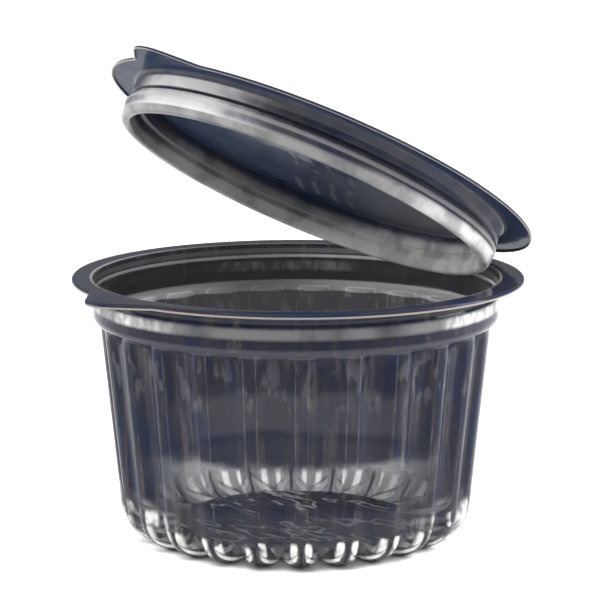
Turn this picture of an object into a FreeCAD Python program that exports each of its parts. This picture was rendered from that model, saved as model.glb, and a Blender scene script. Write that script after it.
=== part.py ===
import FreeCAD
import Part
import math
import os

V = FreeCAD.Vector

# A clear round food pack, formed from plastic film: a ribbed bowl and a recessed lid that
# shares one fold with it. Millimetres. The bowl's axis is Z, it stands on z = 0, the fold is
# at +Y and the finger tabs are at -Y. The lid is drawn closed and then swung open.

film = 0.5

# Collar at the bowl's mouth, which takes the lid's plug
bowl_height = 81.0
collar_radius = 62.1
collar_depth = 14.8
collar_curve_height = 3.0
collar_knee_in = 0.52
collar_knee_up = 1.2
ledge_width = 2.1
ledge_rise = 0.5
bead_drop = 4.2
bead_depth = 0.4
bead_half_width = 1.0
shoulder = 0.8

# Bowl wall and its lobes
lobe_count = 24
lobe_radius = 6.8
lobe_depth = 2.1
lobe_root_depth = 3.3
crest_set_in = 1.8
wall_taper = 5.7
crest_foot_height = 12.0
crest_corner = 12.0
foot_flat_depth = 0.15
corner_runs = 2

# Bowl floor
panel_radius = 37.0
panel_rise = 3.5

# Flange around both halves
flange_width = 7.5
flange_shift = 0.8
bowl_lip = 0.9
lid_lip = 0.5
tab_length = 8.0
tab_tip_width = 7.0
tab_root_width = 31.0
tab_corner = 1.6
tongue_width = 22.0
tongue_root = 2.0

# Fold line
fold_overhang = 1.7
fold_clearance = 0.1
fold_bead_radius = 0.7
curl_sweep = 48.0
flange_gap = 1.0

# Lid, as drawn closed, with its plug's gaps to the collar
plug_depth = 13.2
neck_gap = 1.5
neck_depth = 4.5
groove_gap = 2.0
groove_depth = 5.2
bulge_gap = 0.7
bulge_depth = 7.8
bulge_lead = 0.5
plug_foot_gap = 1.5
plug_corner = 1.3
plug_corner_steps = 2
ring_width = 1.6
inner_wall_draft = 0.8
inner_step_depth = 7.4
inner_step_width = 0.8
upper_wall_draft = 1.2
panel_depth = 2.0
lid_open_angle = 29.3

collar_foot = bowl_height - collar_depth
bead_height = bowl_height - bead_drop
ledge_radius = collar_radius - ledge_width
crest_radius_top = collar_radius - crest_set_in
crest_radius_foot = crest_radius_top - wall_taper
flange_radius = collar_radius + flange_width
tab_reach = flange_radius + tab_length
fold_reach = flange_radius + fold_overhang
curl_outer = fold_bead_radius + fold_clearance + film
fold_height = bowl_height - film + curl_outer
lid_under = bowl_height + flange_gap
small = 0.01


def revolved(points):
    """A full turn about Z of a section given as (radius, height) points."""
    corners = [V(radius, 0, height) for radius, height in points]
    face = Part.Face(Part.makePolygon(corners + [corners[0]]))
    return face.revolve(V(0, 0, 0), V(0, 0, 1), 360)


def bend(centre, radius, from_angle, to_angle, steps):
    """Points along a bend in the section plane, both ends too, in degrees from +r towards +z."""
    points = []
    for index in range(steps + 1):
        angle = math.radians(from_angle + (to_angle - from_angle) * index / steps)
        points.append((centre[0] + radius * math.cos(angle), centre[1] + radius * math.sin(angle)))
    return points


def wall_tilt():
    """Angle of the wall from the vertical, in degrees."""
    return math.degrees(math.atan2(wall_taper, collar_foot - crest_foot_height))


def crest_radius_at(height):
    return crest_radius_foot + (height - crest_foot_height) * math.tan(math.radians(wall_tilt()))


def corner_centre_radius():
    """Radius at which a corner of crest_corner touches both z = 0 and the crest line."""
    return crest_radius_at(crest_corner) - crest_corner / math.cos(math.radians(wall_tilt()))


def floor_and_wall_points(inset):
    """Section from the axis over the floor panel and round the corner to the top of the wall."""
    tilt = wall_tilt()
    floor = panel_rise + inset
    corner = crest_corner - lobe_depth - inset
    from_angle = -math.degrees(math.asin((crest_corner - floor) / corner))
    wall_gap = (lobe_depth + inset) / math.cos(math.radians(tilt))
    foot = collar_foot + inset
    points = [(0, floor)]
    points += bend((corner_centre_radius(), crest_corner), corner, from_angle, -tilt, corner_runs)
    points.append((crest_radius_at(foot) - wall_gap, foot))
    return points


def collar_points(inset):
    """Section from the ledge up the collar, over its bead and out at the shoulder."""
    ledge_height = collar_foot + inset + ledge_rise
    collar = collar_radius + film - inset
    flare = shoulder + inset
    neck_top = bowl_height - film - shoulder
    return [
        (ledge_radius - inset, ledge_height),
        (collar - collar_knee_in, ledge_height + collar_knee_up),
        (collar, ledge_height + collar_curve_height),
        (collar, bead_height - bead_half_width),
        (collar - bead_depth, bead_height),
        (collar, bead_height + bead_half_width),
        (collar, neck_top),
        (collar + flare, neck_top + flare),
    ]


def bowl_body(inset):
    """The bowl without its lobes, filled to above its rim, drawn inwards by inset."""
    points = floor_and_wall_points(inset) + collar_points(inset)
    above = bowl_height + 2 * inset
    points += [(points[-1][0], above), (0, above)]
    return revolved(points)


def lobe_run(centre, radius, slope, outline):
    """One straight run of a lobe: a round bar whose back faces slope, trimmed to an outline."""
    angle = math.radians(slope)
    out = V(math.cos(angle), 0, -math.sin(angle))
    along = V(math.sin(angle), 0, math.cos(angle))
    hub = centre + out * (crest_corner - lobe_radius)
    bar = Part.makeCylinder(radius, 2 * bowl_height, hub - along * bowl_height, along)
    corners = [V(x, -2 * radius, z) for x, z in outline]
    trim = Part.Face(Part.makePolygon(corners + [corners[0]])).extrude(V(0, 4 * radius, 0))
    return bar.common(trim)


def lobe(inset):
    """One lobe at +X: a round-backed rib down the wall, round the corner and under the floor."""
    tilt = wall_tilt()
    radius = lobe_radius - inset
    centre = V(corner_centre_radius(), 0, crest_corner - foot_flat_depth)
    turn = (90 - tilt) / (corner_runs + 1)
    near = crest_corner - lobe_depth - lobe_root_depth
    far = crest_corner + lobe_radius

    def on_mitre(distance, slope):
        angle = math.radians(slope)
        return (centre.x + distance * math.cos(angle), centre.z - distance * math.sin(angle))

    def mitre_ends(slope):
        return [on_mitre(near / math.cos(math.radians(turn / 2)), slope), on_mitre(far, slope)]

    top = collar_foot + ledge_rise + collar_curve_height / 2
    lean = math.tan(math.radians(tilt))
    top_near = centre.x + near / math.cos(math.radians(tilt)) + (top - centre.z) * lean
    end = panel_radius - lobe_radius / 2
    wall = mitre_ends(tilt + turn / 2) + [(top_near + far, top), (top_near, top)]
    foot = mitre_ends(90 - turn / 2) + [(end, centre.z - far), (end, centre.z - near)]
    pieces = [lobe_run(centre, radius, tilt, wall), lobe_run(centre, radius, 90, foot)]
    for index in range(corner_runs):
        slope = tilt + turn * (index + 1)
        outline = mitre_ends(slope - turn / 2) + mitre_ends(slope + turn / 2)[::-1]
        pieces.append(lobe_run(centre, radius, slope, outline))
    return pieces[0].fuse(pieces[1:]).removeSplitter()


def lobes(inset):
    """All lobes, with one groove between two of them on the fold's side and on the tabs' side."""
    first = lobe(inset)
    pitch = 360.0 / lobe_count
    copies = []
    for index in range(lobe_count):
        copy = first.copy()
        copy.rotate(V(0, 0, 0), V(0, 0, 1), 90 + pitch * (index + 0.5))
        copies.append(copy)
    return copies


def under_floor(inset):
    """What is taken away below the raised floor panel and below the feet."""
    raised = Part.makeCylinder(panel_radius + inset, panel_rise + inset + 1, V(0, 0, -1))
    below = Part.makeCylinder(collar_radius, 1, V(0, 0, inset - 1))
    return raised.fuse(below)


def flange_face(height):
    """The flange's outline, with its finger tab and its tongue to the fold."""
    disc = Part.Face(Part.Wire([Part.makeCircle(flange_radius, V(0, flange_shift, height))]))
    root_y = flange_shift - math.sqrt(flange_radius ** 2 - (tab_root_width / 2) ** 2)
    tab_points = [
        V(-tab_root_width / 2, root_y, height),
        V(-tab_tip_width / 2, -tab_reach, height),
        V(tab_tip_width / 2, -tab_reach, height),
        V(tab_root_width / 2, root_y, height),
    ]
    tongue_points = [
        V(-tongue_width / 2, fold_reach - tongue_width, height),
        V(tongue_width / 2, fold_reach - tongue_width, height),
        V(tongue_width / 2, fold_reach, height),
        V(-tongue_width / 2, fold_reach, height),
    ]
    tab = Part.Face(Part.makePolygon(tab_points + [tab_points[0]]))
    tongue = Part.Face(Part.makePolygon(tongue_points + [tongue_points[0]]))
    return disc.fuse([tab, tongue]).removeSplitter().Faces[0]


def round_tab(plate):
    """Rounds the two upright edges at the tip of the finger tab."""
    edges = []
    for edge in plate.Edges:
        ends = [vertex.Point for vertex in edge.Vertexes]
        if len(ends) == 2 and all(abs(point.y + tab_reach) < small for point in ends):
            if abs(ends[0].x - ends[1].x) < small:
                edges.append(edge)
    return plate.makeFillet(tab_corner, edges)


def flange(under, lip):
    """A flat flange of one film thickness whose rim turns down by the lip."""
    low = under - lip
    blank = round_tab(flange_face(low).extrude(V(0, 0, film + lip)))
    lower = [face for face in blank.Faces if abs(face.CenterOfMass.z - low) < small][0]
    recess = Part.Face(lower.OuterWire.makeOffset2D(-film)).extrude(V(0, 0, lip))
    corner = V(-tongue_width / 2, fold_reach - tongue_root, low)
    return blank.cut([recess, Part.makeBox(tongue_width, tongue_root, lip, corner)])


def fold_rod(radius):
    """A rod along the fold line, as long as the tongue is wide."""
    start = V(-tongue_width / 2, fold_reach, fold_height)
    return Part.makeCylinder(radius, tongue_width, start, V(1, 0, 0))


def curl():
    """The bowl's side of the fold: film that turns up round the lid's fold bead."""
    tube = fold_rod(curl_outer).cut(fold_rod(curl_outer - film))
    sweep = math.radians(curl_sweep)
    far = 2 * curl_outer
    start = V(-tongue_width / 2, fold_reach, fold_height)
    corners = [start, start + V(0, 0, -far), start + V(0, far * math.sin(sweep), -far * math.cos(sweep))]
    wedge = Part.Face(Part.makePolygon(corners + [start])).extrude(V(tongue_width, 0, 0))
    return tube.common(wedge)


def make_bowl():
    outside = bowl_body(0).fuse(lobes(0)).cut(under_floor(0))
    inside = bowl_body(film).fuse(lobes(film)).cut(under_floor(film))
    rim = flange(bowl_height - film, bowl_lip)
    return outside.fuse([rim, curl()]).cut(inside).removeSplitter()


def plug_outer_points(inset):
    """Section of the plug's outside from its foot over the bulge and the groove to the shoulder."""
    low = lid_under - plug_depth + inset
    neck = collar_radius - neck_gap - inset
    groove = collar_radius - groove_gap - inset
    bulge = collar_radius - bulge_gap - inset
    foot = collar_radius - plug_foot_gap - inset
    points = bend((foot - plug_corner, low + plug_corner), plug_corner, -90, 0, plug_corner_steps)
    points += [
        (bulge, lid_under - bulge_depth),
        (groove + bulge_lead, lid_under - groove_depth - bulge_lead),
        (groove, lid_under - groove_depth),
        (neck, lid_under - neck_depth),
        (neck, lid_under - shoulder),
        (neck + shoulder + inset, lid_under + inset),
    ]
    return points


def plug_inner_points(inset):
    """Section of the recess from the axis over the panel and down its stepped wall."""
    ring_in = collar_radius - plug_foot_gap - plug_corner - ring_width + inset
    step_out = ring_in - inner_wall_draft
    step_in = step_out - inner_step_width
    panel_z = lid_under - panel_depth + inset
    step_z = lid_under - inner_step_depth + inset
    return [
        (0, panel_z),
        (step_in - upper_wall_draft, panel_z),
        (step_in, step_z),
        (step_out, step_z),
        (ring_in, lid_under - plug_depth + inset),
    ]


def plug_body(inset):
    """The plug and all above its film, filled to above the flange, drawn inwards by inset."""
    points = plug_inner_points(inset) + plug_outer_points(inset)
    above = lid_under + film + 2 * inset
    points += [(points[-1][0], above), (0, above)]
    return revolved(points)


def make_lid():
    rim = flange(lid_under, lid_lip)
    lid = plug_body(0).fuse([rim, fold_rod(fold_bead_radius)]).cut(plug_body(film)).removeSplitter()
    lid.rotate(V(0, fold_reach, fold_height), V(-1, 0, 0), lid_open_angle)
    return lid


def export(shape, name):
    solid = shape.Solids[0] if len(shape.Solids) == 1 else shape
    print(name, "solids", len(shape.Solids), "valid", solid.isValid(), "volume", round(solid.Volume, 1))
    solid.exportStep("parts/" + name + ".step")


os.makedirs("parts", exist_ok=True)
export(make_bowl(), "bowl")
export(make_lid(), "lid")
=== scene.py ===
import bpy
import bmesh
import math
from mathutils import Matrix, Vector


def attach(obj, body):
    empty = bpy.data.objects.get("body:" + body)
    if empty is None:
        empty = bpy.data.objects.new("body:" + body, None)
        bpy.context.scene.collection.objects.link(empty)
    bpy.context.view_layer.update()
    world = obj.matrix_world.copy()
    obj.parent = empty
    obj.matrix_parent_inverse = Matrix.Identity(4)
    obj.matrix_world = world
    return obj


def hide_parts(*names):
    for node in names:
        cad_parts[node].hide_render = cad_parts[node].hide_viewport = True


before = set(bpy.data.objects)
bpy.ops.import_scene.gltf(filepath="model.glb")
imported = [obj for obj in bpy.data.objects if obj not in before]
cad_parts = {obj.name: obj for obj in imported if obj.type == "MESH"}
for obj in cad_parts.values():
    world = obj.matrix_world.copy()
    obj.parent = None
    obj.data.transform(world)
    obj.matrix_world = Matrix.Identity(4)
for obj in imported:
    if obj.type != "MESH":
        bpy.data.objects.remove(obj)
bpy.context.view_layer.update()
print("frame loaded")

mm = 0.001

# sizes that both halves share, in millimetres
sheetFilm = {
    "thickness": 0.5,
    "flangeRadius": 69.6,
    "flangeShift": 0.8,
    "tabReach": 77.6,
    "tabTipWidth": 7.0,
    "tabRootWidth": 31.0,
    "tabTipRound": 0.6,
    "tabTipSoftness": 1.6,
    "tongueWidth": 22.0,
    "foldReach": 71.3,
    "foldHeight": 81.8,
}


def rounded(points, radii, steps=5):
    # a section with each inner corner rounded by its radius
    out = [points[0]]
    for index in range(1, len(points) - 1):
        radius = radii.get(index, 0)
        here = Vector(points[index])
        back = Vector(points[index - 1]) - here
        ahead = Vector(points[index + 1]) - here
        if radius <= 0:
            out.append(tuple(here))
            continue
        half = back.angle(ahead) / 2
        cut = min(radius / math.tan(half), back.length * 0.48, ahead.length * 0.48)
        start = here + back.normalized() * cut
        end = here + ahead.normalized() * cut
        for step in range(steps + 1):
            t = step / steps
            out.append(tuple(start.lerp(here, t).lerp(here.lerp(end, t), t)))
    out.append(points[-1])
    return out


def outline(angle):
    # distance from the axis to the flange's edge, with its finger tab and its tongue
    s = sheetFilm
    x, y = math.cos(angle), math.sin(angle)
    shift = s["flangeShift"]
    reach = shift * y + math.sqrt(s["flangeRadius"] ** 2 - (shift * x) ** 2)
    rootY = math.sqrt(s["flangeRadius"] ** 2 - (s["tabRootWidth"] / 2) ** 2) - shift
    if y < -0.5:
        flank = abs(x) / -y
        tipHalf, rootHalf = s["tabTipWidth"] / 2, s["tabRootWidth"] / 2
        slope = (rootHalf - tipHalf) / (s["tabReach"] - rootY)
        depth = (tipHalf + slope * s["tabReach"]) / (flank + slope)
        depth = min(depth, s["tabReach"])
        fromCorner = (flank * s["tabReach"] - tipHalf) / s["tabTipSoftness"]
        depth -= s["tabTipRound"] * math.exp(-fromCorner ** 2)
        if depth > rootY:
            reach = max(reach, depth / -y)
    if y > 0.5 and abs(x) * s["foldReach"] / y <= s["tongueWidth"] / 2 + 0.001:
        reach = max(reach, s["foldReach"] / y)
    return reach


def turnAngles(count, phase):
    # even angles round the axis, and a pair at each side of the tongue
    angles = [phase + math.tau * index / count for index in range(count)]
    side = math.atan2(sheetFilm["tongueWidth"] / 2, sheetFilm["foldReach"])
    for sign in (-1, 1):
        for nudge in (0.0, 0.0012):
            angles.append(math.pi / 2 + sign * (side + nudge))
    return sorted(angle % math.tau for angle in angles)


def skin(name, rows):
    # a sheet through rows of points round the axis, closed at the axis
    mesh = bpy.data.meshes.new(name)
    bm = bmesh.new()
    rings = []
    for row in rows:
        rings.append([bm.verts.new(Vector(p) * mm) for p in row])
    for low, high in zip(rings, rings[1:]):
        for index in range(len(low)):
            after = (index + 1) % len(low)
            bm.faces.new((low[index], low[after], high[after], high[index]))
    hub = bm.verts.new(Vector((0, 0, rows[0][0][2])) * mm)
    for index in range(len(rings[0])):
        after = (index + 1) % len(rings[0])
        bm.faces.new((hub, rings[0][after], rings[0][index]))
    bm.normal_update()
    bm.to_mesh(mesh)
    bm.free()
    mesh.shade_smooth()
    obj = bpy.data.objects.new(name, mesh)
    bpy.context.collection.objects.link(obj)
    return obj


def thicken(obj, outside, inside):
    # the sheet is the outside, so the film is added on the side of the food
    obj.data.materials.append(outside)
    obj.data.materials.append(inside)
    lowest = min(obj.data.polygons, key=lambda p: p.center.z)
    solid = obj.modifiers.new("film", "SOLIDIFY")
    solid.thickness = sheetFilm["thickness"] * mm
    solid.offset = -1 if lowest.normal.z < 0 else 1
    solid.material_offset = 1
    graph = bpy.context.evaluated_depsgraph_get()
    mesh = bpy.data.meshes.new_from_object(obj.evaluated_get(graph))
    obj.modifiers.clear()
    obj.data = mesh
    mesh.shade_smooth()


def round3(radius, angle, height):
    return (radius * math.cos(angle), radius * math.sin(angle), height)


def addFlange(addRow, under, lip, fromRadius):
    # the flange's under side out to its edge, and its rim that turns down
    film = sheetFilm["thickness"]

    def outTo(share, height):
        def point(a):
            return round3(fromRadius + (outline(a) - film - fromRadius) * share, a, height)
        return point
    for share in (0.3, 0.6, 0.85, 0.97):
        addRow(outTo(share, under))
    for drop in (0.12, 0.45, 1.0):
        addRow(outTo(1.0, under - lip * drop))


# bowl
bowlSizes = {
    "height": 81.0,
    "lobes": 24,
    "pointsPerLobe": 16,
    "lobeRadius": 6.8,
    "crestTop": 60.3,
    "crestFoot": 54.6,
    "footHeight": 12.0,
    "lobeDepth": 2.1,
    "cornerRadius": 12.0,
    "footFlat": 0.15,
    "valleySoftness": 0.35,
    "panelRadius": 37.0,
    "panelRise": 3.5,
    "collarRadius": 62.6,
    "collarFoot": 66.2,
    "wallOverrun": 0.4,
    "ledgeStart": 57.0,
    "ledgeDip": 0.3,
    "ledgeRadius": 60.0,
    "ledgeRise": 0.5,
    "ledgeBend": (0.52, 1.7),
    "ledgeEnd": 61.5,
    "beadHeight": 76.8,
    "beadDepth": 0.4,
    "beadHalf": 1.0,
    "shoulderRound": 0.8,
    "shoulderWidth": 2.2,
    "lip": 0.9,
}


def makeBowl():
    b = bowlSizes
    film = sheetFilm["thickness"]
    pitch = math.tau / b["lobes"]
    phase = math.pi / 2 + pitch / 2
    angles = turnAngles(b["pointsPerLobe"] * b["lobes"], phase)
    tilt = math.atan2(b["crestTop"] - b["crestFoot"], b["collarFoot"] - b["footHeight"])
    lean = math.tan(tilt)
    crestAtCentre = b["crestFoot"] + (b["cornerRadius"] - b["footHeight"]) * lean
    centreR = crestAtCentre - b["cornerRadius"] / math.cos(tilt)
    centreZ = b["cornerRadius"] - b["footFlat"]
    reach = b["cornerRadius"] - b["lobeRadius"]
    wallLevel = b["cornerRadius"] - b["lobeDepth"]
    floorLevel = b["cornerRadius"] - b["panelRise"]
    rows = []

    def addRow(point):
        rows.append([point(angle) for angle in angles])

    def distance(baseR, normalR, level, angle):
        # from the path inside the wall out to the lobe's round back or the groove's level
        swing = math.sin((angle - phase + pitch / 2) % pitch - pitch / 2)
        soft = b["valleySoftness"]
        d = level
        for _ in range(4):
            y = (baseR + normalR * d) * swing
            back = reach + math.sqrt(max(b["lobeRadius"] ** 2 - y * y, 0.01))
            gap = back - level
            d = (back + level + math.sqrt(gap * gap + soft ** 2)) / 2
            d -= soft ** 2 / 4 / max(abs(gap), soft)
        return min(d, b["cornerRadius"])

    def flat(radius, height):
        return lambda a: round3(radius, a, height)

    def underLobe(radius):
        return lambda a: max(centreZ - distance(radius, 0, floorLevel, a), 0)

    # floor panel, its step and the feet
    for radius in (6, 16, 26, 33, 35.5, 36.6):
        addRow(flat(radius, b["panelRise"]))
    edge = underLobe(b["panelRadius"])
    for share in (0.06, 0.25, 0.6, 0.9):
        def stepPoint(a, share=share):
            height = b["panelRise"] * (1 - share) + edge(a) * share
            return round3(b["panelRadius"], a, height)
        addRow(stepPoint)
    for radius in (37.35, 38.2, 39.6, 41.2):
        addRow(lambda a, r=radius: round3(r, a, underLobe(r)(a)))

    # corner from the feet to the wall
    steps = 16
    for step in range(steps + 1):
        slope = math.radians(90) + (tilt - math.radians(90)) * step / steps
        level = floorLevel + (wallLevel - floorLevel) * step / steps

        def cornerPoint(a, slope=slope, level=level):
            d = distance(centreR, math.cos(slope), level, a)
            return round3(centreR + math.cos(slope) * d, a, max(centreZ - math.sin(slope) * d, 0))
        addRow(cornerPoint)

    ledge = rounded(
        [
            (b["ledgeStart"], b["collarFoot"] - b["ledgeDip"]),
            (b["ledgeRadius"], b["collarFoot"] + b["ledgeRise"]),
            (b["collarRadius"] - b["ledgeBend"][0], b["collarFoot"] + b["ledgeBend"][1]),
            (b["collarRadius"], b["collarFoot"] + 3.5),
        ],
        {1: 2.0, 2: 2.0},
    )

    def ledgeHeight(radius):
        for low, high in zip(ledge, ledge[1:]):
            if radius <= high[0]:
                t = (radius - low[0]) / (high[0] - low[0])
                return low[1] + (high[1] - low[1]) * t
        return ledge[-1][1]

    def wallRadius(height, a):
        baseR = centreR + (height - centreZ) * lean
        return baseR + distance(baseR, 1, wallLevel, a) / math.cos(tilt)

    # wall up to the ledge, and the ledge out to the collar
    wallEnd = b["collarFoot"] + b["wallOverrun"]
    wallRows = 15
    for row in range(1, wallRows + 1):
        def wallPoint(a, share=row / wallRows):
            top = ledgeHeight(min(wallRadius(wallEnd, a), b["ledgeEnd"]))
            bottom = centreZ - math.sin(tilt) * wallLevel
            height = bottom + (top - bottom) * share
            return round3(wallRadius(height, a), a, height)
        addRow(wallPoint)
    for share in (0.08, 0.2, 0.36, 0.52, 0.68, 0.82, 0.92, 1.0):
        def ledgePoint(a, share=share):
            start = wallRadius(wallEnd, a)
            r = start + (b["collarRadius"] - start) * share
            return round3(r, a, ledgeHeight(r))
        addRow(ledgePoint)

    # collar, bead, shoulder and flange
    top = b["height"] - film
    section = rounded(
        [
            (b["collarRadius"], b["collarFoot"] + 3.9),
            (b["collarRadius"], b["beadHeight"] - b["beadHalf"]),
            (b["collarRadius"] - b["beadDepth"], b["beadHeight"]),
            (b["collarRadius"], b["beadHeight"] + b["beadHalf"]),
            (b["collarRadius"], top),
            (b["collarRadius"] + b["shoulderWidth"], top),
        ],
        {1: 0.5, 2: 0.6, 3: 0.5, 4: b["shoulderRound"]},
        4,
    )
    for radius, height in section:
        addRow(flat(radius, height))
    addFlange(addRow, top, b["lip"], b["collarRadius"] + b["shoulderWidth"])
    return skin("bowl_film", rows)


bowl = makeBowl()
print("bowl made")


# lid, drawn closed and then set open by its object's own turn
lidSizes = {
    "under": 82.0,
    "openAngle": 29.3,
    "plugDepth": 13.2,
    "neckRadius": 60.6,
    "neckDepth": 4.5,
    "neckToFlange": 2.6,
    "grooveRadius": 60.1,
    "grooveDepth": 5.2,
    "grooveFlank": (0.6, 0.5),
    "bulgeRadius": 61.4,
    "bulgeDepth": 7.8,
    "footRadius": 60.6,
    "ringWidth": 1.6,
    "footCorner": 1.3,
    "innerDraft": 0.8,
    "innerStepDepth": 7.4,
    "innerStepWidth": 0.8,
    "upperDraft": 1.2,
    "panelDepth": 2.0,
    "lip": 0.5,
    "turnPoints": 288,
}


def makeLid():
    d = lidSizes
    under = d["under"]
    foot = under - d["plugDepth"]
    ringIn = d["footRadius"] - d["footCorner"] - d["ringWidth"]
    stepOut = ringIn - d["innerDraft"]
    stepIn = stepOut - d["innerStepWidth"]
    panelR = stepIn - d["upperDraft"]
    flankOut, flankDown = d["grooveFlank"]
    section = rounded(
        [
            (8, under - d["panelDepth"]),
            (panelR, under - d["panelDepth"]),
            (stepIn, under - d["innerStepDepth"]),
            (stepOut, under - d["innerStepDepth"]),
            (ringIn, foot),
            (d["footRadius"], foot),
            (d["bulgeRadius"], under - d["bulgeDepth"]),
            (d["grooveRadius"] + flankOut, under - d["grooveDepth"] - flankDown),
            (d["grooveRadius"], under - d["grooveDepth"]),
            (d["neckRadius"], under - d["neckDepth"]),
            (d["neckRadius"], under),
            (d["neckRadius"] + d["neckToFlange"], under),
        ],
        {1: 1.4, 2: 0.6, 3: 0.6, 4: 1.2, 5: 1.6, 6: 1.5, 7: 0.4, 8: 0.5, 9: 0.6, 10: 0.9},
        5,
    )
    angles = turnAngles(d["turnPoints"], 0)
    rows = []

    def addRow(point):
        rows.append([point(angle) for angle in angles])

    for radius, height in section:
        addRow(lambda a, r=radius, z=height: round3(r, a, z))
    addFlange(addRow, under, d["lip"], d["neckRadius"] + d["neckToFlange"])
    obj = skin("lid_film", rows)
    pivot = Matrix.Translation(Vector((0, sheetFilm["foldReach"], sheetFilm["foldHeight"])) * mm)
    turn = Matrix.Rotation(math.radians(-d["openAngle"]), 4, "X")
    obj.matrix_world = pivot @ turn @ pivot.inverted()
    return obj


lid = makeLid()
print("lid made")


# fold: a bead along the lid's tongue that turns in a curl along the bowl's
foldSizes = {
    "beadRadius": 0.7,
    "clearance": 0.1,
    "curlSweep": 48.0,
    "curlSteps": 12,
    "beadSweep": 345,
    "beadSteps": 23,
}


def makeStrip(name, section):
    # a bar along X through a closed section of (y, z) points about the fold line
    half = sheetFilm["tongueWidth"] / 2
    foldY, foldZ = sheetFilm["foldReach"], sheetFilm["foldHeight"]
    count = len(section)
    points = []
    for x in (-half, half):
        for y, z in section:
            points.append(Vector((x, foldY + y, foldZ + z)) * mm)
    faces = [(i, (i + 1) % count, count + (i + 1) % count, count + i) for i in range(count)]
    faces += [tuple(range(count))[::-1], tuple(range(count, 2 * count))]
    mesh = bpy.data.meshes.new(name)
    mesh.from_pydata(points, [], faces)
    mesh.shade_smooth()
    obj = bpy.data.objects.new(name, mesh)
    bpy.context.collection.objects.link(obj)
    return obj


def ringPoints(radius, start, end, steps):
    # points on an arc about the fold line, in degrees from straight down towards +Y
    angles = [math.radians(start + (end - start) * i / steps) for i in range(steps + 1)]
    return [(radius * math.sin(a), -radius * math.cos(a)) for a in angles]


def makeFold():
    f = foldSizes
    inner = f["beadRadius"] + f["clearance"]
    outer = inner + sheetFilm["thickness"]
    section = ringPoints(outer, 0, f["curlSweep"], f["curlSteps"])
    section += ringPoints(inner, 0, f["curlSweep"], f["curlSteps"])[::-1]
    curl = makeStrip("fold_curl", section)
    section = ringPoints(f["beadRadius"], 0, f["beadSweep"], f["beadSteps"])
    bead = makeStrip("fold_bead", section)
    return curl, bead


curl, bead = makeFold()
print("fold made")


# film colours, linear
filmLook = {
    "slate": (0.025, 0.0245, 0.034, 1),
    "dark": (0.010, 0.010, 0.014, 1),
    "navy": (0.012, 0.019, 0.045, 1),
    "blue": (0.016, 0.036, 0.085, 1),
    "panelBlue": (0.038, 0.058, 0.112, 1),
    "grey": (0.17, 0.17, 0.175, 1),
    "line": (0.36, 0.35, 0.345, 1),
    "white": (0.80, 0.79, 0.78, 1),
    "tan": (0.36, 0.32, 0.28, 1),
    "roughness": 0.10,
    "viewSide": -39.3,  # degrees round the axis to the side that the photo shows
}


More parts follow.
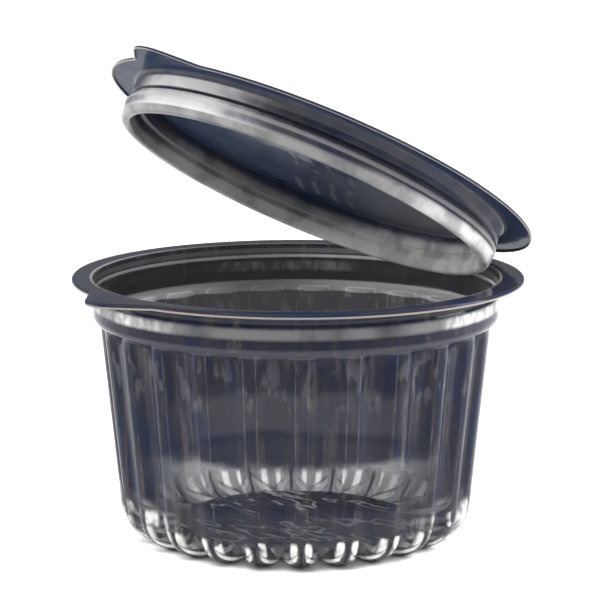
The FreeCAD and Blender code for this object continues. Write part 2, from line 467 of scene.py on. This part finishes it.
class Shader:
    # short forms for a film's nodes; a value may be a socket or a number
    # side is 0 for the sheet's outer surface and 1 for the side of the food

    def __init__(self, name, side, look):
        self.material = bpy.data.materials.new(name)
        self.material.use_nodes = True
        self.tree = self.material.node_tree
        self.tree.nodes.clear()
        self.side, self.look = side, look
        self.colour = filmLook["slate"]
        self.opacity = look["hides"]["wall"][side]
        self.place = self.tree.nodes.new("ShaderNodeTexCoord").outputs["Object"]
        split = self.tree.nodes.new("ShaderNodeSeparateXYZ")
        self.tree.links.new(self.place, split.inputs[0])
        self.x, self.y, self.z = split.outputs
        squares = self.sum(self.times(self.x, self.x), self.times(self.y, self.y))
        self.radius = self.math("SQRT", squares)
        self.angle = self.math("ARCTAN2", self.y, self.x)

    def put(self, socket, value):
        if isinstance(value, bpy.types.NodeSocket):
            self.tree.links.new(value, socket)
        else:
            socket.default_value = value

    def math(self, operation, a, b=0.0):
        node = self.tree.nodes.new("ShaderNodeMath")
        node.operation = operation
        self.put(node.inputs[0], a)
        self.put(node.inputs[1], b)
        return node.outputs[0]

    def sum(self, a, b):
        return self.math("ADD", a, b)

    def times(self, a, *more):
        for b in more:
            a = self.math("MULTIPLY", a, b)
        return a

    def most(self, a, b):
        return self.math("MAXIMUM", a, b)

    def ramp(self, value, low, high, lowOut=0.0, highOut=1.0):
        # lowOut up to low, highOut from high on, and smooth between them
        node = self.tree.nodes.new("ShaderNodeMapRange")
        node.interpolation_type = "SMOOTHSTEP"
        self.put(node.inputs["Value"], value)
        node.inputs["From Min"].default_value = low
        node.inputs["From Max"].default_value = high
        node.inputs["To Min"].default_value = lowOut
        node.inputs["To Max"].default_value = highOut
        return node.outputs[0]

    def band(self, value, low, high, soft):
        # 1 between low and high and 0 outside, with soft sides
        rise = self.ramp(value, low - soft, low + soft)
        return self.times(rise, self.ramp(value, high - soft, high + soft, 1, 0))

    # masks from a zone's sizes, which are in millimetres

    def past(self, value, zone):
        low, high = self.look["zones"][zone]
        return self.ramp(value, low * mm, high * mm)

    def short(self, value, zone):
        low, high = self.look["zones"][zone]
        return self.ramp(value, low * mm, high * mm, 1, 0)

    def within(self, value, zone):
        low, high, soft = self.look["zones"][zone]
        return self.band(value, low * mm, high * mm, soft * mm)

    def noise(self, name):
        scale, stretch, detail = self.look["noises"][name]
        spread = self.tree.nodes.new("ShaderNodeMapping")
        spread.inputs["Scale"].default_value = stretch
        self.put(spread.inputs["Vector"], self.place)
        node = self.tree.nodes.new("ShaderNodeTexNoise")
        node.inputs["Scale"].default_value = scale
        node.inputs["Detail"].default_value = detail
        self.put(node.inputs["Vector"], spread.outputs[0])
        return node.outputs["Fac"]

    def mix(self, kind, share, a, b):
        # a where share is 0 and b where it is 1
        node = self.tree.nodes.new("ShaderNodeMix")
        node.data_type = kind
        ins = [socket for socket in node.inputs if socket.enabled]
        for socket, value in zip(ins, (share, a, b)):
            self.put(socket, value)
        return [socket for socket in node.outputs if socket.enabled][0]

    def blend(self, share, a, b):
        return self.mix("RGBA", share, a, b)

    def paint(self, mark, mask):
        # lays the mark's tint over the colour so far, by its share for this side
        tint, *shares = self.look["tints"][mark]
        if shares[self.side]:
            share = self.times(mask, shares[self.side])
            self.colour = self.blend(share, self.colour, filmLook[tint])

    def hide(self, zone, mask):
        share = self.look["hides"][zone][self.side]
        self.opacity = self.mix("FLOAT", mask, self.opacity, share)

    def finish(self, shine):
        new, link = self.tree.nodes.new, self.tree.links.new
        gloss = new("ShaderNodeBsdfPrincipled")
        self.put(gloss.inputs["Base Color"], self.colour)
        gloss.inputs["Roughness"].default_value = filmLook["roughness"]
        gloss.inputs["IOR"].default_value = self.look["refraction"]
        self.put(gloss.inputs["Specular IOR Level"], shine)
        bump = new("ShaderNodeBump")
        bump.inputs["Distance"].default_value = self.look["waveDepth"]
        bump.inputs["Strength"].default_value = 1.0
        self.put(bump.inputs["Height"], self.noise("wave"))
        link(bump.outputs[0], gloss.inputs["Normal"])
        mix = new("ShaderNodeMixShader")
        self.put(mix.inputs["Fac"], self.opacity)
        link(new("ShaderNodeBsdfTransparent").outputs[0], mix.inputs[1])
        link(gloss.outputs[0], mix.inputs[2])
        link(mix.outputs[0], new("ShaderNodeOutputMaterial").inputs["Surface"])
        return self.material


# the bowl's film
bowlLook = {
    # heights and radii in millimetres; a third number is a band's softness
    "zones": {
        "panel": (36.6, 37.2),
        "outward": (36.6, 37.8),
        "lobesTop": (66.0, 67.0),
        "cornerTop": (16.0, 19.0),
        "footTop": (6.8, 9.4),
        "collarFrom": (65.5, 67.0),
        "flangeFrom": (63.2, 64.0),
        "ribsFrom": (30.0, 50.0),
        "flecks": (50.0, 64.0, 4.0),
        "clear": (19.0, 32.8, 2.0),
        "arc": (0.8, 2.5, 0.4),
        "shadeArc": (2.6, 3.4, 0.3),
        "sole": (0.4, 0.8),
        "high": (4.6, 9.2, 1.0),
        "between": (6.0, 14.0, 2.0),
        "lens": (2.2, 8.2, 0.8),
        "hollow": (69.4, 75.8, 0.4),
        "ledge": (66.0, 69.0, 0.3),
        "scallopHeight": (66.0, 68.0, 0.2),
        "scallopWidth": (-0.3, 0.6, 0.2),
        "shine": (72.2, 75.2, 0.7),
        "upper": (77.9, 79.5, 0.3),
        "bead": (76.4, 77.4, 0.2),
        "shoulder": (62.6, 63.3, 0.2),
        "shoulderFrom": (79.5, 80.0),
        "rimTop": (80.0, 80.3),
        "rimFrom": (66.0, 67.0),
    },
    # shares of the way from a lobe's middle to the groove beside it
    "acrossLobe": {
        "ribs": (0.55, 0.80),
        "edge": (0.742, 0.762, 0.022),
        "arcEnd": (0.70, 0.86),
        "high": (0.54, 0.82, 0.07),
        "between": (0.20, 0.80, 0.08),
        "lens": (0.22, 0.48, 0.06),
        "valley": (0.90, 0.96),
        "scallop": (0.55, 0.85),
    },
    # scale, stretch and detail
    "noises": {
        "streak": (420, (1, 1, 0.10), 4),
        "cloud": (90, (1, 1, 1), 4),
        "patch": (55, (1, 1, 0.6), 3),
        "grain": (420, (1, 1, 0.5), 2),
        "fleck": (300, (1, 1, 0.35), 2),
        "scratch": (170, (0.35, 1, 1), 2),
        "wave": (140, (1, 1, 0.3), 2),
    },
    # each mark's tint, with its share on the outer and on the inner surface
    "tints": {
        "streaks": ("tan", 0.12, 0.22),
        "ribs": ("dark", 0, 0.85),
        "edge": ("line", 0.40, 0.65),
        "flecks": ("line", 0.13, 0.22),
        "hazeAndPaintedLight": ("grey", 1, 1),
        "crescentHighlight": ("white", 1, 1),
        "valley": ("dark", 0.9, 0.9),
        "scratch": ("white", 0.85, 0.85),
        "hollow": ("dark", 0, 0.8),
        "ledgeOutside": ("grey", 0.15, 0),
        "ledgeInside": ("white", 0, 0.62),
        "shine": ("grey", 0.75, 0.08),
        "shineMiddle": ("line", 0.30, 0),
        "bright": ("white", 0.85, 0.3),
        "scallop": ("white", 0, 0.95),
        "upperOutside": ("grey", 0.15, 0),
        "upperInside": ("line", 0, 0.6),
        "bead": ("white", 0, 0.9),
        "shoulder": ("line", 0, 0.9),
        "rim": ("tan", 0.8, 0.8),
    },
    # the share of the outer and the inner surface that hides what is behind it
    "hides": {
        "wall": (0.80, 0.89),
        "clear": (0.22, 0.20),
        "corner": (0.48, 0.55),
        "foot": (0.46, 0.62),
        "lens": (0.20, 0.14),
        "panel": (0.90, 0.93),
        "collar": (0.86, 0.93),
        "flange": (0.93, 0.93),
        "marks": (0.85, 0.90),
    },
    "refraction": 1.13,
    "shine": 0.5,
    "waveDepth": 0.00008,  # in metres
    "footBend": 4.2,  # how far an arc on a foot climbs towards the groove, in millimetres
    "clearWaver": 9.0,
    "brightFrom": -95.0,  # middle of the first of three stretches of painted highlight, in degrees
    "scallopLobe": 59.6,
    "scallopGroove": 57.6,
}


def bowlFilm(name, side):
    look, lobe = bowlLook, bowlLook["acrossLobe"]
    s = Shader(name, side, look)
    pitch = math.tau / bowlSizes["lobes"]
    # 0 at a lobe's middle and 1 in the groove beside it
    turn = s.math("FRACT", s.times(s.sum(s.angle, 10 * math.tau - math.pi / 2), 1 / pitch))
    groove = s.math("SUBTRACT", 1.0, s.math("ABSOLUTE", s.sum(s.times(turn, 2), -1.0)))
    streak = s.noise("streak")
    cloud = s.noise("cloud")
    patch = s.noise("patch")
    grain = s.ramp(s.noise("grain"), 0.35, 0.65, 0.35, 1)
    panel = s.short(s.radius, "panel")
    outward = s.past(s.radius, "outward")
    corner = s.times(s.short(s.z, "cornerTop"), outward)
    foot = s.times(s.short(s.z, "footTop"), outward)
    collar = s.past(s.z, "collarFrom")
    flange = s.times(s.past(s.radius, "flangeFrom"), collar)
    # 1 on the photo's side and behind it, and -1 between them
    sides = s.math("COSINE", s.times(s.sum(s.angle, -math.radians(filmLook["viewSide"])), 2))

    # wall
    s.colour = s.blend(s.ramp(streak, 0.35, 0.55, 0.15, 1), filmLook["navy"], filmLook["slate"])
    s.paint("streaks", s.times(s.ramp(streak, 0.50, 0.72), s.ramp(patch, 0.35, 0.6)))
    # painted shade: the inner surface darkened in the grooves, from partway up the wall
    s.paint("ribs", s.times(s.ramp(groove, *lobe["ribs"]), s.past(s.z, "ribsFrom")))
    # painted highlight: thin light lines along the rounded sides of each groove
    edge = s.times(s.band(groove, *lobe["edge"]), s.short(s.z, "lobesTop"), outward, grain)
    s.paint("edge", edge)
    fleck = s.ramp(s.noise("fleck"), 0.56, 0.62)
    s.paint("flecks", s.times(s.within(s.z, "flecks"), fleck))

    # corner and feet: painted highlights as white crescents, between grooves darkened as painted
    # shade
    # a pale haze of the film in the corner and the feet, and painted light that stands in for the
    # light seen through them
    s.paint("hazeAndPaintedLight", s.times(corner, s.ramp(patch, 0.35, 0.65, 0, (0.12, 0.2)[side])))
    least, full = ((0.35, 0.85), (0.10, 0.45))[side]
    s.paint("hazeAndPaintedLight", s.times(foot, s.ramp(cloud, 0.3, 0.7, least, full)))
    climbing = s.sum(s.z, s.times(groove, groove, -look["footBend"] * mm))
    arc = s.times(s.within(climbing, "arc"), s.ramp(groove, *lobe["arcEnd"], 1, 0))
    high = s.times(s.within(s.z, "high"), s.ramp(patch, 0.36, 0.46))
    high = s.times(high, s.band(groove, *lobe["high"]))
    between = s.times(s.within(s.z, "between"), s.ramp(sides, -0.5, 0.4, 1, 0))
    between = s.times(between, s.band(groove, *lobe["between"]), s.ramp(patch, 0.42, 0.55))
    high = s.most(high, s.times(between, 0.5))
    # the arcs and the high patches together make the painted highlight on the feet and corner
    crescentHighlight = s.times(s.most(arc, high), grain, outward, s.ramp(cloud, 0.34, 0.46))
    s.paint("crescentHighlight", s.ramp(crescentHighlight, 0.0, 0.4))
    # painted shade: a dark arc above each white arc, and the grooves and the sole of each foot
    # darkened
    shadeArc = s.times(s.within(climbing, "shadeArc"), 0.6)
    valley = s.most(s.ramp(groove, *lobe["valley"]), s.short(s.z, "sole"))
    valley = s.times(s.most(valley, shadeArc), foot, (1.0, 0.55)[side])
    s.paint("valley", valley)

    # floor panel with its light scratches
    # the panel's haze, lightened as painted light because little light reaches it
    s.paint("hazeAndPaintedLight", s.times(panel, s.ramp(cloud, 0.35, 0.65, 0.15, 0.40)))
    s.paint("scratch", s.times(s.band(s.noise("scratch"), 0.56, 0.61, 0.010), panel))

    # ledge, its scalloped edge, the collar and its bead
    # painted shade: the inside of the collar darkened between the ledge and the bead
    s.paint("hollow", s.within(s.z, "hollow"))
    # painted highlight: the sloped ledge lightened, strongest on its inner side
    ledge = s.within(s.z, "ledge")
    s.paint("ledgeOutside", ledge)
    s.paint("ledgeInside", ledge)
    # painted reflection: a light band round the collar, with painted highlights in three
    # stretches round it
    shine = s.times(s.within(s.z, "shine"), s.ramp(patch, 0.36, 0.6, 0.25, 1))
    s.paint("shine", shine)
    s.paint("shineMiddle", shine)
    thirds = s.math("COSINE", s.times(s.sum(s.angle, -math.radians(look["brightFrom"])), 3))
    s.paint("bright", s.times(s.ramp(thirds, 0.30, 0.75), shine, grain))
    # painted highlight along the ledge's scalloped edge, on its inner side
    lobeEnd, grooveEnd = look["scallopLobe"] * mm, look["scallopGroove"] * mm
    reach = s.ramp(groove, *lobe["scallop"], -lobeEnd, -grooveEnd)
    scallop = s.within(s.sum(s.radius, reach), "scallopWidth")
    dashes = s.ramp(cloud, 0.40, 0.50, 0.25, 1)
    s.paint("scallop", s.times(scallop, s.within(s.z, "scallopHeight"), dashes))
    # painted reflection: a light band high on the collar
    upper = s.within(s.z, "upper")
    s.paint("upperOutside", upper)
    s.paint("upperInside", upper)
    # painted highlight along the bead, on its inner side
    s.paint("bead", s.within(s.z, "bead"))

    # flange, its shoulder and its rim
    tone = s.blend(s.ramp(cloud, 0.4, 0.6), filmLook["slate"], filmLook["navy"])
    s.colour = s.blend(flange, s.colour, tone)
    # painted highlight: a light line along the rounded shoulder, on its inner side
    s.paint("shoulder", s.times(s.within(s.radius, "shoulder"), s.past(s.z, "shoulderFrom")))
    # painted highlight: a tan line along the turned-down rim
    s.paint("rim", s.times(s.short(s.z, "rimTop"), s.past(s.radius, "rimFrom")))

    waver = s.times(s.sum(cloud, -0.5), look["clearWaver"] * mm)
    clear = s.within(s.sum(s.z, waver), "clear")
    s.hide("clear", s.times(clear, s.ramp(sides, -0.5, 0.6)))
    s.hide("corner", corner)
    s.hide("foot", foot)
    s.hide("panel", panel)
    s.hide("collar", collar)
    s.hide("flange", flange)
    s.hide("marks", s.times(edge, 0.5))
    lens = s.times(s.within(s.z, "lens"), s.band(groove, *lobe["lens"]))
    s.hide("lens", s.times(lens, outward, s.ramp(cloud, 0.36, 0.46, 0.4, 1)))
    s.hide("marks", s.most(crescentHighlight, valley))
    return s.finish(look["shine"])


# the lid's film
lidLook = {
    # heights from the flange's under side, radii and widths in millimetres
    "zones": {
        "panel": (54.5, 55.2),
        "flangeFrom": (61.6, 62.2),
        "outward": (58.5, 59.2),
        "wallFrom": (55.2, 56.0),
        "wallTo": (61.2, 61.6),
        "inwardTo": (59.2, 59.8),
        "foot": (-13.3, -10.2, 0.7),
        "step": (-7.8, -7.0, 0.3),
        "groove": (-6.0, -4.8, 0.3),
        "bulge": (-8.3, -7.0, 0.4),
        "whiteFrom": (-11.2, -10.6),
        "whiteTo": (-1.8, -1.2),
        "lowTop": (-9.8, -8.8),
        "streaksAcross": (-11.0, 9.0, 3.0),
        "palerAcross": (4.0, 40.0),
        "rimTop": (-0.4, -0.2),
        "rimFrom": (66.0, 67.0),
    },
    "noises": {
        "cloud": (60, (1, 1, 1), 4),
        "patch": (120, (1, 1, 1), 3),
        "waver": (22, (1, 1, 1), 1),
        "wave": (70, (1, 1, 1), 2),
    },
    "tints": {
        "panel": ("panelBlue", 1, 1),
        "streaks": ("grey", 0.75, 0.12),
        "paler": ("grey", 0.7, 0.12),
        "wall": ("grey", 1, 1),
        "foot": ("grey", 0.8, 0.8),
        "footMiddle": ("line", 1, 1),
        "lines": ("line", 0.6, 0.6),
        "white": ("white", 0.6, 0.6),
        "inward": ("line", 1, 1),
        "palest": ("white", 1, 1),
        "low": ("white", 1, 1),
        "groove": ("slate", 1, 1),
        "flange": ("blue", 1, 1),
        "rim": ("tan", 0.7, 0.7),
    },
    "hides": {
        "wall": (0.84, 0.84),
        "palest": (0.55, 0.55),
        "panel": (0.93, 0.93),
        "flange": (0.94, 0.94),
    },
    "refraction": 1.07,
    "shine": 0.5,
    "flangeShine": 0.2,
    "waveDepth": 0.00024,  # in metres
    "streaksPerMetre": 170,
    "streakWaver": 0.016,  # in metres
    "streakSlope": -0.16,
    "whiteMiddle": -85.0,  # degrees round the axis to the middle of the painted highlight
}


def lidFilm(name, side):
    look = lidLook
    s = Shader(name, side, look)
    below = s.sum(s.z, -lidSizes["under"] * mm)
    cloud = s.noise("cloud")
    patch = s.noise("patch")
    panel = s.short(s.radius, "panel")
    flange = s.past(s.radius, "flangeFrom")
    outward = s.past(s.radius, "outward")
    wall = s.times(s.past(s.radius, "wallFrom"), s.short(s.radius, "wallTo"))
    foot = s.within(below, "foot")
    s.colour = s.blend(s.ramp(cloud, 0.35, 0.7), filmLook["navy"], filmLook["slate"])

    # panel: light streaks that waver across it, and a paler part beside the fold
    least, full = ((0.7, 1.0), (0.0, 0.35))[side]
    # the panel's own navy, lightened as painted light because little light reaches its under side
    s.paint("panel", s.times(panel, s.ramp(cloud, 0.3, 0.7, least, full)))
    view = math.radians(filmLook["viewSide"] + 90)
    across = s.sum(s.times(s.x, math.cos(view)), s.times(s.y, math.sin(view)))
    along = s.sum(s.times(s.x, -math.sin(view)), s.times(s.y, math.cos(view)))
    waver = s.times(s.sum(s.noise("waver"), -0.5), look["streakWaver"])
    wavy = s.sum(s.sum(across, waver), s.times(along, look["streakSlope"]))
    lines = s.math("FRACT", s.times(s.sum(wavy, 1), look["streaksPerMetre"]))
    streaks = s.times(s.band(lines, 0.36, 0.64, 0.12), s.within(wavy, "streaksAcross"))
    streaks = s.times(streaks, s.ramp(patch, 0.36, 0.6), s.ramp(cloud, 0.42, 0.62, 0.3, 1))
    s.paint("streaks", s.times(streaks, panel))
    s.paint("paler", s.times(s.past(across, "palerAcross"), panel))

    # plug: its wall, foot ring, and painted highlight lines along its pressed step and bulge
    s.paint("wall", s.times(wall, s.ramp(patch, 0.35, 0.7, 0.08, 0.25)))
    s.paint("foot", foot)
    s.paint("footMiddle", s.times(foot, s.ramp(patch, 0.35, 0.6, 0.2, 0.6)))
    # painted highlight: light lines on the step and the bulge
    bulge = s.times(s.within(below, "bulge"), outward)
    s.paint("lines", s.most(s.within(below, "step"), bulge))

    # painted highlight on its outer side beside the tab
    fromTab = s.math("ABSOLUTE", s.sum(s.angle, -math.radians(look["whiteMiddle"])))
    ragged = s.sum(fromTab, s.times(s.sum(patch, -0.5), 0.5))
    white = s.times(s.ramp(ragged, math.radians(6), math.radians(34), 1, 0), wall, outward)
    s.paint("white", s.times(white, s.past(below, "whiteFrom"), s.short(below, "whiteTo")))

    # and painted reflection makes its inner side paler towards the fold
    toFold = s.math("DIVIDE", s.y, s.radius)
    pale = s.ramp(toFold, -0.55, 0.1)
    inward = s.times(pale, wall, s.short(s.radius, "inwardTo"))
    s.paint("inward", s.times(inward, s.ramp(patch, 0.35, 0.6, 0.45, 0.9)))
    palest = s.times(inward, s.ramp(toFold, 0.55, 0.95))
    s.paint("palest", s.times(palest, s.ramp(patch, 0.35, 0.6, 0.3, 0.75)))
    low = s.times(pale, wall, s.short(below, "lowTop"))
    s.paint("low", s.times(low, s.ramp(patch, 0.35, 0.6, 0.35, 0.75)))
    s.paint("groove", s.times(s.within(below, "groove"), outward))

    # flange and rim
    least, full = ((0.2, 0.6), (0.0, 0.2))[side]
    s.paint("flange", s.times(flange, s.ramp(cloud, 0.35, 0.7, least, full)))
    # painted highlight: a tan line along the turned-down rim
    s.paint("rim", s.times(s.short(below, "rimTop"), s.past(s.radius, "rimFrom")))

    s.hide("panel", panel)
    s.hide("flange", flange)
    s.hide("palest", palest)
    shine = s.mix("FLOAT", flange, look["shine"], look["flangeShine"])
    return s.finish(shine)


thicken(bowl, bowlFilm("bowl outside", 0), bowlFilm("bowl inside", 1))
thicken(lid, lidFilm("lid outside", 0), lidFilm("lid inside", 1))
curl.data.materials.append(bowl.data.materials[0])
bead.data.materials.append(lid.data.materials[0])
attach(curl, "bowl_body")
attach(bead, "lid_body")
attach(bowl, "bowl_body")
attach(lid, "lid_body")
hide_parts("bowl")
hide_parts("lid")
print("film shaded")


# floor, light and camera
studio = {
    "azimuth": 50.7,
    "distance": 0.95,
    "rimSlope": 0.169,  # tangent of the angle at which the rim is looked down on
    "aimRight": 0.00123,
    "aimHeight": 0.0731,
    "lens": 187.9,
    "sunPower": 3.4,
    "sunSpread": 40.0,
    "sunPlace": (-0.3, -0.5, 1.5),  # places are right, back and up from the camera's side
    "leftPower": 5.0,
    "leftPlace": (-0.62, 0.05, 0.34),
    "leftSize": (0.4, 0.4),
    "rightPower": 9.0,
    "rightPlace": (0.6, 0.05, 0.4),
    "rightSize": (0.25, 0.5),
    "lampTarget": (0, 0, 0.06),
    "floorHalf": 8.0,
    "floorColour": (0.95, 0.95, 0.95, 1),
    "floorRoughness": 0.9,
    "floorShine": 0.1,
    "horizon": 0.30,
    "zenith": 0.25,
    "skyTurn": (0.2, 0.5),  # heights between which horizon turns to zenith
}


def fromCamera(right, back, up):
    # a place given from the camera's side: to its right, away from it and up
    a = math.radians(studio["azimuth"])
    return (
        right * math.cos(a) - back * math.sin(a),
        right * math.sin(a) + back * math.cos(a),
        up,
    )


def makeFloor():
    mesh = bpy.data.meshes.new("floor")
    size = studio["floorHalf"]
    corners = [(-size, -size, 0), (size, -size, 0), (size, size, 0), (-size, size, 0)]
    mesh.from_pydata(corners, [], [(0, 1, 2, 3)])
    floor = bpy.data.objects.new("floor", mesh)
    bpy.context.collection.objects.link(floor)
    material = bpy.data.materials.new("studio floor")
    material.use_nodes = True
    surface = material.node_tree.nodes["Principled BSDF"]
    surface.inputs["Base Color"].default_value = studio["floorColour"]
    surface.inputs["Roughness"].default_value = studio["floorRoughness"]
    surface.inputs["Specular IOR Level"].default_value = studio["floorShine"]
    floor.data.materials.append(material)


def makeWorld():
    # pale at the horizon and darker overhead
    world = bpy.data.worlds.new("studio")
    bpy.context.scene.world = world
    world.use_nodes = True
    nodes, links = world.node_tree.nodes, world.node_tree.links
    direction = nodes.new("ShaderNodeTexCoord")
    split = nodes.new("ShaderNodeSeparateXYZ")
    links.new(direction.outputs["Generated"], split.inputs[0])
    shade = nodes.new("ShaderNodeMapRange")
    shade.interpolation_type = "SMOOTHSTEP"
    shade.inputs["From Min"].default_value = studio["skyTurn"][0]
    shade.inputs["From Max"].default_value = studio["skyTurn"][1]
    shade.inputs["To Min"].default_value = studio["horizon"]
    shade.inputs["To Max"].default_value = studio["zenith"]
    links.new(split.outputs["Z"], shade.inputs["Value"])
    links.new(shade.outputs[0], nodes["Background"].inputs["Strength"])
    nodes["Background"].inputs["Color"].default_value = (1, 1, 1, 1)


def aim(obj, target):
    direction = Vector(target) - obj.location
    obj.rotation_euler = direction.to_track_quat("-Z", "Y").to_euler()


def softbox(hand):
    data = bpy.data.lights.new(f"{hand} box", "AREA")
    data.shape = "RECTANGLE"
    data.size, data.size_y = studio[f"{hand}Size"]
    data.energy = studio[f"{hand}Power"]
    lamp = bpy.data.objects.new(f"{hand} box", data)
    bpy.context.collection.objects.link(lamp)
    lamp.location = fromCamera(*studio[f"{hand}Place"])
    aim(lamp, studio["lampTarget"])


def makeSun():
    data = bpy.data.lights.new("sun", "SUN")
    data.energy = studio["sunPower"]
    data.angle = math.radians(studio["sunSpread"])
    sun = bpy.data.objects.new("sun", data)
    bpy.context.collection.objects.link(sun)
    sun.location = fromCamera(*studio["sunPlace"])
    aim(sun, (0, 0, 0))


def makeCamera():
    s = studio
    data = bpy.data.cameras.new("camera")
    camera = bpy.data.objects.new("camera", data)
    bpy.context.collection.objects.link(camera)
    bpy.context.scene.camera = camera
    height = bowlSizes["height"] * mm + s["rimSlope"] * s["distance"]
    camera.location = fromCamera(s["aimRight"], -s["distance"], height)
    aim(camera, fromCamera(s["aimRight"], 0, s["aimHeight"]))
    data.sensor_width = 36
    data.lens = s["lens"]
    data.clip_start = 0.05
    data.clip_end = 50


makeFloor()
makeWorld()
makeSun()
softbox("left")
softbox("right")
makeCamera()
bpy.context.scene.view_settings.view_transform = "Standard"
print("studio ready")
